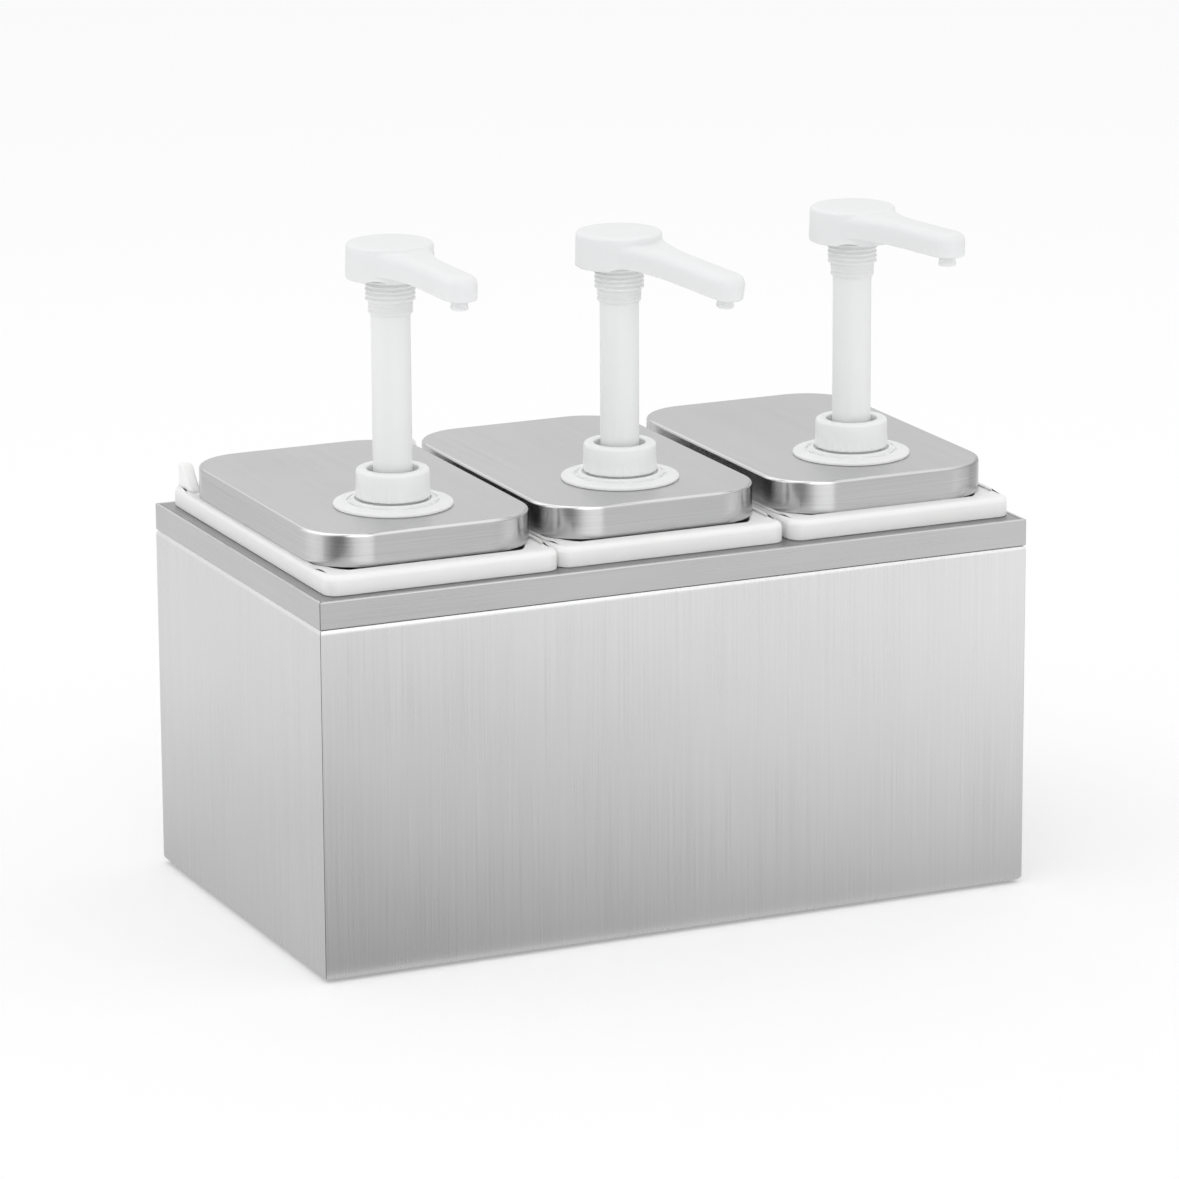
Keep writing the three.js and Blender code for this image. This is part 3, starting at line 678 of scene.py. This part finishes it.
def make_container(station):
    node = f"container_{station}"
    centre, size = container_middle(station), size_of(node)
    plate = top_of("top_plate")
    bottom, under, top = bottom_of(node), plate + 0.1, plate + RIM_HEIGHT
    land = top - LAND_DROP
    lid = size_of(f"lid_{station}")
    width, depth = size.x - 2 * TUB_LEDGE, size.y - 2 * TUB_LEDGE
    wall_in = 2 * CONTAINER_WALL

    def tub(z, inset, corner):
        share = (plate - z) / (plate - bottom) if z < plate else 0
        narrow = 2 * TUB_DRAFT * share
        return rounded_ring(centre, width - inset - narrow, depth - inset - narrow, corner, z)

    rings = [
        tub(bottom, 16, 14), tub(bottom, 6, 18), tub(bottom + 1, 1.8, 19.5),
        tub(bottom + 3.5, 0, TUB_CORNER),
    ]
    rings += [tub(bottom + share * (plate - bottom - 4), 0, TUB_CORNER) for share in (0.25, 0.5, 0.75, 1)]
    rings += [tub(top - 1.6 * CONTAINER_WALL, 0, TUB_CORNER)]
    rings += [
        rounded_ring(centre, size.x - wall_in, size.y - wall_in, 3, top - 1.6 * CONTAINER_WALL),
        rounded_ring(centre, size.x - wall_in, size.y - wall_in, 3, under + 0.4),
        rounded_ring(centre, size.x - wall_in + 0.8, size.y - wall_in + 0.8, 3.4, under),
        rounded_ring(centre, size.x - 0.8, size.y - 0.8, RIM_CORNER - 0.4, under),
        rounded_ring(centre, size.x, size.y, RIM_CORNER, under + 0.4),
    ]
    rings += arc_rings(centre, size.x, size.y, RIM_CORNER, RIM_EDGE, top, 6)
    rebate_x, rebate_y = lid.x + 2 * LID_PLAY_X, lid.y + 2 * LID_PLAY_Y
    rings += [
        rounded_ring(centre, rebate_x + 1, rebate_y + 1, LID_CORNER / 2, top),
        rounded_ring(centre, rebate_x, rebate_y, LID_CORNER / 2, top - 0.4),
        rounded_ring(centre, rebate_x, rebate_y, LID_CORNER / 2, land + 0.3),
        rounded_ring(centre, rebate_x - 0.6, rebate_y - 0.6, LID_CORNER / 2, land),
        rounded_ring(centre, width - wall_in + 1.6, depth - wall_in + 1.6, TUB_CORNER, land),
        rounded_ring(centre, width - wall_in, depth - wall_in, TUB_CORNER, land - 0.8),
    ]
    inside = bottom + CONTAINER_FLOOR
    rings += [tub(inside + share * (plate - inside), wall_in, TUB_CORNER - 2) for share in (0.75, 0.5, 0.25)]
    rings += [
        tub(inside + 4, wall_in, TUB_CORNER - 2), tub(inside + 1, wall_in + 2, 17),
        tub(inside, wall_in + 8, 15),
    ]
    bm = bmesh.new()
    loft(bm, rings)
    add_lug(bm, centre, size, top)
    body = f"container_{station}"
    finish_piece(f"tub_{station}", bm, [CONTAINER_PLASTIC], body, [node])


def add_lug(bm, centre, size, rim_top):
    """The upright lug at the rim's back left corner, buttressed towards the front."""
    outline = filleted(
        [
            (0, -4, 0), (0, LUG["height"], 1.4), (-LUG["top"], LUG["height"], 2.2),
            (-LUG["foot"], 0, 6), (-LUG["foot"] - 1, -4, 0),
        ],
        steps=5,
    )
    x0 = -size.x / 2 + LUG["side"]
    y0 = size.y / 2 - LUG["back"]
    rounding = 1.1
    rings = []
    layers = ((0, rounding), (rounding, 0), (LUG["width"] - rounding, 0), (LUG["width"], rounding))
    middle_y = -LUG["foot"] / 2
    for across, inset in layers:
        ring = []
        for along, up in outline:
            shrink = 1 - 2 * inset / LUG["foot"]
            y = middle_y + (along - middle_y) * shrink
            z = up - inset if up > 0 else up
            ring.append(Vector((x0 + across, y0 + y, rim_top + z)) * MM + Vector((centre.x, centre.y, 0)))
        rings.append(ring)
    loft(bm, rings)


def circle_like(ring, centre, radius, height):
    """A circle with one point for each point of the ring, in the same directions."""
    points = []
    for place in ring:
        away = Vector((place.x - centre.x, place.y - centre.y)).normalized() * radius * MM
        points.append(Vector((centre.x + away.x, centre.y + away.y, height * MM)))
    return points


HOLE_RADIUS = 21.4


def make_lid(station):
    node = f"lid_{station}"
    centre, size, pump = middle_of(node), size_of(node), middle_of(f"collar_{station}")
    bottom, top = bottom_of(node), top_of(node)
    inner = size.x - 2 * LID_SHEET, size.y - 2 * LID_SHEET
    bm = bmesh.new()
    side = [rounded_ring(centre, *inner, LID_CORNER - LID_SHEET, top - 3 * LID_SHEET)]
    side += [rounded_ring(centre, *inner, LID_CORNER - LID_SHEET, bottom + 0.2)]
    side += [rounded_ring(centre, size.x - 1, size.y - 1, LID_CORNER - 0.5, bottom)]
    side += [rounded_ring(centre, size.x, size.y, LID_CORNER, bottom + 0.3)]
    side += arc_rings(centre, size.x, size.y, LID_CORNER, LID_EDGE, top, 6)
    loft(bm, side, caps=False, material=1)
    flat = rounded_ring(centre, size.x - 2 * LID_EDGE, size.y - 2 * LID_EDGE, LID_CORNER - LID_EDGE, top)
    under = rounded_ring(centre, inner[0] - 2, inner[1] - 2, LID_CORNER - 2, top - LID_SHEET)
    shoulder = rounded_ring(centre, *inner, LID_CORNER - LID_SHEET, top - 3 * LID_SHEET)
    cover = [
        flat, circle_like(flat, pump, HOLE_RADIUS, top),
        circle_like(flat, pump, HOLE_RADIUS, top - LID_SHEET),
    ]
    loft(bm, cover + [under, shoulder], caps=False, material=0)
    bmesh.ops.remove_doubles(bm, verts=bm.verts, dist=0.00001)
    steels = [LID_TOP_STEEL, LID_SIDE_STEEL]
    finish_piece(f"cover_{station}", bm, steels, f"lid_{station}", [node])


# ------------------------------------------------------------------ pump, below the head

SLOT_COUNT = 8
SLOT_LAND = math.radians(9)
SLOT_RADII = (24.3, 25.9)
SLOT_DEEP = 1.1
RIB_COUNT = 30
RIB_HEIGHT = 0.35
RIB_SHARE = 0.52


def flange_relief(disc_top):
    """Sinks the arc slots into the disc between the small lands."""
    def vary(angle, radius, height):
        within = SLOT_RADII[0] < radius < SLOT_RADII[1]
        step = 2 * math.pi / SLOT_COUNT
        offset = abs((angle + step / 3) % step - step / 2)
        if within and height > disc_top - 0.5 and offset < (step - SLOT_LAND) / 2:
            return radius, height - SLOT_DEEP
        return radius, height
    return vary


def make_flange(station):
    node = f"pump_flange_{station}"
    centre = middle_of(node)
    z = top_of(f"lid_{station}") + 0.1
    top, bottom = top_of(node), bottom_of(node)
    disc = z + 2.8
    profile = [
        (14.3, bottom, 0.3), (19, bottom, 0.5), (19, z, 0.2), (33.3, z, 0.5), (33.3, z + 1.7, 0.9),
        (27.5, disc, 1), (25.95, disc, 0), (25.85, disc, 0), (24.35, disc, 0), (24.25, disc, 0),
        (23.5, disc, 0), (23.1, z + 4.1, 0.5), (21.2, z + 4.1, 0.4), (21, disc, 0.3), (17.2, disc, 0.4),
        (17.2, top, 0.3), (16.1, top, 0.3), (16.1, z + 3.7, 0), (14.3, z + 3.7, 0.2),
    ]
    bm = bmesh.new()
    lathe(bm, profile, centre, 2 * ROUND, vary=flange_relief(disc))
    finish_piece(f"flange_{station}", bm, [PUMP_PLASTIC_PAINTED_LIGHT], f"lid_{station}", [node], False)


def collar_relief(bottom, top):
    """Thin upright ribs on the collar's lower half."""
    def vary(angle, radius, height):
        share = (height - bottom) / (top - bottom)
        if radius > 19.8 and share < RIB_SHARE:
            wave = abs((angle * RIB_COUNT / (2 * math.pi)) % 1 - 0.5) * 2
            return radius - RIB_HEIGHT * min(1, 3 * (1 - wave)) * min(1, (RIB_SHARE - share) * 9), height
        return radius, height
    return vary


def make_collar(station):
    node = f"collar_{station}"
    centre, bottom, top = middle_of(node), bottom_of(node), top_of(node)
    recess = top_of(f"stem_bush_{station}") + 0.1
    outer = [(20.9 - 0.5 * i / 4, bottom + 8 * i / 4, 0) for i in range(1, 5)]
    profile = [(17.6, bottom, 0.2), (20.9, bottom, 0.5), *outer, (20.4, top, 2.0)]
    profile += [
        (14.3, top, 1.1), (14.3, recess, 0), (15.5, recess, 0), (15.5, top - 2.6, 0),
        (17.6, top - 2.6, 0),
    ]
    bm = bmesh.new()
    lathe(bm, profile, centre, 6 * RIB_COUNT, steps=5, vary=collar_relief(bottom, top))
    name = f"screw_collar_{station}"
    finish_piece(name, bm, [PUMP_PLASTIC_PAINTED_LIGHT], f"lid_{station}", [node], False)


def turned_piece(name, node, body, material, profile, sides=SMALL_ROUND, vary=None):
    bm = bmesh.new()
    lathe(bm, profile, middle_of(node), sides, vary=vary)
    return finish_piece(name, bm, [material], body, [node], False)


def scaled_grip(angle, radius, height):
    """Eight finger scallops round the nut."""
    if radius < 24:
        return radius, height
    return radius - 1.6 * max(0, math.cos(8 * angle)) ** 6, height


def make_lid_side_parts(station):
    body = f"lid_{station}"
    node = f"flange_gasket_{station}"
    low, high = bottom_of(node), top_of(node)
    profile = [(19.5, low, 0.3), (26, low, 0.3), (26, high, 0.3), (19.5, high, 0.3)]
    turned_piece(f"gasket_{station}", node, body, SEAL_PLASTIC, profile)
    node = f"lid_nut_{station}"
    low, high = bottom_of(node), top_of(node)
    profile = [(19.3, low, 0.6), (26.8, low, 1.2), (26.8, high, 0.8), (19.3, high, 0.6)]
    turned_piece(f"ring_nut_{station}", node, body, PUMP_PLASTIC_PAINTED_LIGHT, profile, ROUND, scaled_grip)
    node = f"barrel_{station}"
    low, high = bottom_of(node), top_of(node)
    profile = [
        (12.2, low, 0.3), (13.7, low, 0.5), (13.7, high - 1.5, 0.2), (15.6, high - 1.5, 0.2),
        (15.6, high, 0.2), (12.2, high, 0.3),
    ]
    turned_piece(f"pump_barrel_{station}", node, body, PUMP_PLASTIC_PAINTED_LIGHT, profile)
    node = f"stem_bush_{station}"
    low, high = bottom_of(node), top_of(node)
    profile = [
        (11.0, low, 0.2), (12.1, low, 0.2), (12.1, high - 1.2, 0.1), (15.5, high - 1.2, 0.1),
        (15.5, high, 0.3), (11.0, high, 0.5),
    ]
    turned_piece(f"guide_bush_{station}", node, body, PUMP_PLASTIC_PAINTED_LIGHT, profile)
    node = f"foot_valve_{station}"
    low, high = bottom_of(node), top_of(node)
    barrel = bottom_of(f"barrel_{station}") - 0.1
    seat = low + 4.5
    profile = [
        (5.15, low, 0.3), (7.1, low, 0.8), (7.1, seat, 0.5), (13.7, seat, 0.6), (13.7, barrel, 0.3),
        (12.1, barrel, 0), (12.1, high, 0.4), (4.9, high, 0.3), (4.9, seat + 1.4, 0), (2.4, seat + 1.4, 0),
        (2.4, seat, 0), (5.15, seat, 0),
    ]
    turned_piece(f"valve_body_{station}", node, body, PUMP_PLASTIC_PAINTED_LIGHT, profile)
    node = f"dip_tube_{station}"
    low, high = bottom_of(node), top_of(node)
    profile = [(3.6, low, 0.2), (5, low, 0.2), (5, high, 0.2), (3.6, high, 0.2)]
    turned_piece(f"suction_tube_{station}", node, body, PUMP_PLASTIC_PAINTED_LIGHT, profile)


SPRING_RADIUS = 9.6
SPRING_WIRE = 0.75
SPRING_TURNS = 9


def make_spring(station):
    node = f"return_spring_{station}"
    centre = middle_of(f"barrel_{station}")
    low, high = bottom_of(node) + SPRING_WIRE, top_of(node) - SPRING_WIRE
    steps = SPRING_TURNS * 24
    rings = []
    for i in range(steps + 1):
        share = i / steps
        angle = 2 * math.pi * SPRING_TURNS * share
        flat_ends = min(max((share * SPRING_TURNS - 0.8) / (SPRING_TURNS - 1.6), 0), 1)
        z = low + (high - low) * flat_ends + (2 * share - 1) * 0.01
        outward = Vector((math.cos(angle), math.sin(angle), 0))
        spine = outward * SPRING_RADIUS + Vector((0, 0, z))
        ring = []
        for j in range(8):
            around = 2 * math.pi * j / 8
            offset = outward * math.cos(around) + Vector((0, 0, 1)) * math.sin(around)
            ring.append((spine + offset * SPRING_WIRE) * MM + Vector((centre.x, centre.y, 0)))
        rings.append(ring)
    bm = bmesh.new()
    loft(bm, rings)
    name, body = f"spring_{station}", f"lid_{station}"
    spring = finish_piece(name, bm, [BALL_STEEL], body, [node], False)
    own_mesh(spring)


def make_piston_parts(station):
    body = f"plunger_{station}"
    node = f"piston_{station}"
    low, high = bottom_of(node), top_of(node)
    top = high - 14
    profile = [
        (2.4, low, 0), (12.1, low, 0.4), (12.1, low + 3, 0.8), (11, low + 5, 0.8), (11, top - 5, 0.8),
        (12.1, top - 3, 0.8), (12.1, top, 0.4), (8.1, top, 0.2), (8.1, high, 0.5), (4.9, high, 0.3),
        (4.9, low + 8.5, 0), (2.4, low + 8.5, 0),
    ]
    turned_piece(f"piston_seal_{station}", node, body, SEAL_PLASTIC, profile)
    make_ball(f"inlet_ball_{station}", f"inlet_ball_{station}")
    make_ball(f"discharge_ball_{station}", f"discharge_ball_{station}")


def make_ball(node, body):
    centre = middle_of(node)
    bm = bmesh.new()
    bmesh.ops.create_icosphere(bm, subdivisions=3, radius=4 * MM, matrix=Matrix.Translation(centre))
    finish_piece(node.replace("ball", "check_ball"), bm, [BALL_STEEL], body, [node], False)


# ------------------------------------------------------------------ pump head

CAP = {"radius": 24.6, "shoulder": 24.0, "height": 19.7, "edge": 4.4, "wall": 2.2, "roof": 6}
SPOUT = {"reach": 83, "half": 9.6, "tip": 9.7, "top": 1.2, "thick": 13.4, "edge": 4.8, "flare": 69}
THREAD = {"crest": 13.9, "root": 12.6, "end": 32.3, "pitch": 2.6, "sleeve": 12.15, "sleeve_end": 39.8}
NOTCH_ANGLE = math.radians(44)
NOTCH_WIDTH = math.radians(15)
NOTCH_HEIGHT = 1.6
# Size of the cells that make the cap and spout one skin.
VOXEL = 0.5
# Each head's turn from +X and its spout's droop, in degrees.
HEADS = {1: (-86, 2), 2: (-68, 8.7), 3: (-77.6, 0.9)}


def notched(cap_bottom):
    """Raises the cap's lower edge in a small arch on each side of the spout."""
    def vary(angle, radius, height):
        away = min(abs((angle - side * NOTCH_ANGLE + math.pi) % (2 * math.pi) - math.pi) for side in (-1, 1))
        if height < cap_bottom + 1 and away < NOTCH_WIDTH:
            return radius, height + NOTCH_HEIGHT * math.sqrt(1 - (away / NOTCH_WIDTH) ** 2)
        return radius, height
    return vary


def spout_outline(inset):
    """Half of the spout's plan, from the pump axis to the tip: a flare, a straight and a round end."""
    cap, half, flare = CAP["radius"] - inset, SPOUT["half"] - inset, SPOUT["flare"] + inset
    end = math.sqrt((cap + flare) ** 2 - (half + flare) ** 2)
    start = end * cap / (cap + flare)
    points = [(0, start * 0.6), (start * 0.6, start * 0.7)]
    for i in range(9):
        x = start + (end - start) * i / 8
        points.append((x, half + flare - math.sqrt(max(flare ** 2 - (x - end) ** 2, 0))))
    for i in range(1, 5):
        x = end + (SPOUT["reach"] - end) * i / 5
        points.append((x, half - i / 5 * (SPOUT["half"] - SPOUT["tip"])))
    tip = SPOUT["tip"] - inset
    for i in range(13):
        angle = math.pi / 2 * (1 - i / 12)
        points.append((SPOUT["reach"] + tip * math.cos(angle), tip * math.sin(angle)))
    return points


def spout_ring(inset, height, droop_turn):
    upper = spout_outline(inset)
    lower = [(x, -y) for x, y in reversed(upper[:-1])]
    return [droop_turn @ Vector((x, y, height)) for x, y in upper + lower]


def head_shell(station, head_top, yaw, droop):
    """Cap and spout as overlapping skins, in millimetres about the pump axis."""
    bottom = head_top - CAP["height"]
    inner = CAP["radius"] - CAP["wall"]
    profile = [
        (0, head_top, 0), (CAP["shoulder"] * 0.5, head_top - 0.05, 0),
        (CAP["shoulder"] - 3.5, head_top - 0.35, 0),
        (CAP["shoulder"], head_top - 0.5, CAP["edge"]), (CAP["radius"], bottom, 0.6), (inner, bottom, 0.6),
        (inner - 1, head_top - CAP["roof"], 1.5), (0, head_top - CAP["roof"], 0),
    ]
    bm = bmesh.new()
    lathe(bm, profile, Vector((0, 0, 0)), ROUND, steps=6, vary=notched(bottom))
    turn = Matrix.Translation((0, 0, head_top - SPOUT["top"])) @ Matrix.Rotation(math.radians(droop), 4, "Y")
    rings = [spout_ring(0.6, -SPOUT["thick"], turn)]
    rings.append(spout_ring(0.18, -SPOUT["thick"] + 0.18, turn))
    rings.append(spout_ring(0, -SPOUT["thick"] + 0.6, turn))
    for step in range(7):
        angle = math.pi / 2 * step / 6
        inset = SPOUT["edge"] * (1 - math.cos(angle))
        rings.append(spout_ring(inset, SPOUT["edge"] * (math.sin(angle) - 1), turn))
    rings.append(spout_ring(SPOUT["edge"] + 1.5, 0.12, turn))
    for ring in rings:
        for point in ring:
            point *= MM
    loft(bm, rings)
    core = [
        (0, head_top - 2, 0), (THREAD["root"], head_top - 2, 0),
        (THREAD["root"], bottom - 1, 0), (0, bottom - 1, 0),
    ]
    lathe(bm, core, Vector((0, 0, 0)), SMALL_ROUND)
    bmesh.ops.recalc_face_normals(bm, faces=bm.faces)
    centre = middle_of(f"collar_{station}")
    place = Matrix.Translation((centre.x, centre.y, 0)) @ Matrix.Rotation(math.radians(yaw), 4, "Z")
    bmesh.ops.transform(bm, matrix=place, verts=bm.verts)
    return bm


def blended(bm, name):
    """One skin round overlapping skins, with the joins between them softened."""
    mesh = bpy.data.meshes.new(name)
    bm.to_mesh(mesh)
    bm.free()
    rough = bpy.data.objects.new(name, mesh)
    bpy.context.collection.objects.link(rough)
    remesh = rough.modifiers.new("skin", "REMESH")
    remesh.mode = "VOXEL"
    remesh.voxel_size = VOXEL * MM
    smooth = rough.modifiers.new("soften", "SMOOTH")
    smooth.factor = 0.5
    smooth.iterations = 6
    skin = bpy.data.meshes.new_from_object(rough.evaluated_get(bpy.context.evaluated_depsgraph_get()))
    bpy.data.objects.remove(rough)
    made = bmesh.new()
    made.from_mesh(skin)
    bpy.data.meshes.remove(skin)
    return made


def make_head(station):
    yaw, droop = HEADS[station]
    node = f"pump_head_{station}"
    body = f"head_{station}"
    head_top = top_of(node)
    bm = blended(head_shell(station, head_top, yaw, droop), f"head_shell_{station}")
    finish_piece(f"cap_spout_{station}", bm, [CAP_PLASTIC], body, [node], False)
    make_thread(station, head_top, body)
    make_nozzle(station, head_top, yaw, droop, body)
    make_stem(station, body)


def make_thread(station, head_top, body):
    """The lock thread's ridges under the cap, and the ribbed sleeve below it."""
    start, end = head_top - CAP["height"] + 1.5, head_top - THREAD["end"]
    profile = [(11.15, start, 0), (THREAD["root"], start, 0)]
    ridges = 5
    for i in range(ridges):
        crest = start - 3 - i * THREAD["pitch"]
        profile += [
            (THREAD["root"], crest + 0.9, 0.3), (THREAD["crest"], crest + 0.35, 0.3),
            (THREAD["crest"], crest - 0.35, 0.3), (THREAD["root"], crest - 0.9, 0.3),
        ]
    profile += [(THREAD["root"], end, 0.4), (THREAD["sleeve"] + 0.25, end - 0.6, 0.3)]
    for i in range(3):
        rib = end - 2 - i * 2.2
        profile += [
            (THREAD["sleeve"] - 0.1, rib + 0.6, 0.2), (THREAD["sleeve"] + 0.35, rib, 0.3),
            (THREAD["sleeve"] - 0.1, rib - 0.6, 0.2),
        ]
    last = head_top - THREAD["sleeve_end"]
    profile += [(THREAD["sleeve"] - 0.1, last, 0.3), (11.15, last, 0.2)]
    bm = bmesh.new()
    lathe(bm, profile, middle_of(f"collar_{station}"), ROUND, steps=2)
    # The thread sits in the shade under the cap; its plastic carries painted light.
    thread = finish_piece(f"lock_thread_{station}", bm, [PUMP_PLASTIC_PAINTED_LIGHT], body, [], False)
    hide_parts(f"pump_head_{station}")


def make_nozzle(station, head_top, yaw, droop, body):
    """The short outlet under the spout's tip, with a small flare at its mouth."""
    node = f"nozzle_{station}"
    bottom, top = -SPOUT["thick"] - 5.5, -SPOUT["thick"] + 3.5
    profile = [
        (3.2, bottom, 0.5), (4.9, bottom, 0.6), (4.9, bottom + 1.4, 0.3), (4.55, bottom + 2, 0.3),
        (4.7, top, 0.2), (3.2, top, 0.2),
    ]
    bm = bmesh.new()
    lathe(bm, profile, Vector((0, 0, 0)), SMALL_ROUND)
    centre = middle_of(f"collar_{station}")
    place = (
        Matrix.Translation((centre.x, centre.y, (head_top - SPOUT["top"]) * MM))
        @ Matrix.Rotation(math.radians(yaw), 4, "Z")
        @ Matrix.Rotation(math.radians(droop), 4, "Y")
        @ Matrix.Translation((SPOUT["reach"] * MM, 0, 0))
    )
    bmesh.ops.transform(bm, matrix=place, verts=bm.verts)
    finish_piece(f"outlet_{station}", bm, [CAP_PLASTIC], body, [node], False)


def make_stem(station, body):
    node = f"stem_{station}"
    low, high = bottom_of(node), top_of(node)
    profile = [(8.4, low, 0.3), (10.93, low, 0.5), (10.93, high, 0.3), (8.4, high, 0.3)]
    turned_piece(f"plunger_stem_{station}", node, body, PUMP_PLASTIC_PAINTED_LIGHT, profile, ROUND)


# ------------------------------------------------------------------ the whole

add_camera()
add_studio()
add_softbox("key", (-1.2, -2.2, 2.6), 1.8, 5)
add_softbox("top", (0.2, 0.3, 2.6), 2.2, 4)
add_floor()
add_reflector_card()
bpy.context.scene.view_settings.view_transform = "Standard"

make_housing()
make_top_plate()
make_feet()
for number in STATIONS:
    make_container(number)
    make_lid(number)
    make_flange(number)
    make_collar(number)
    make_lid_side_parts(number)
    make_spring(number)
    make_piston_parts(number)
    make_head(number)
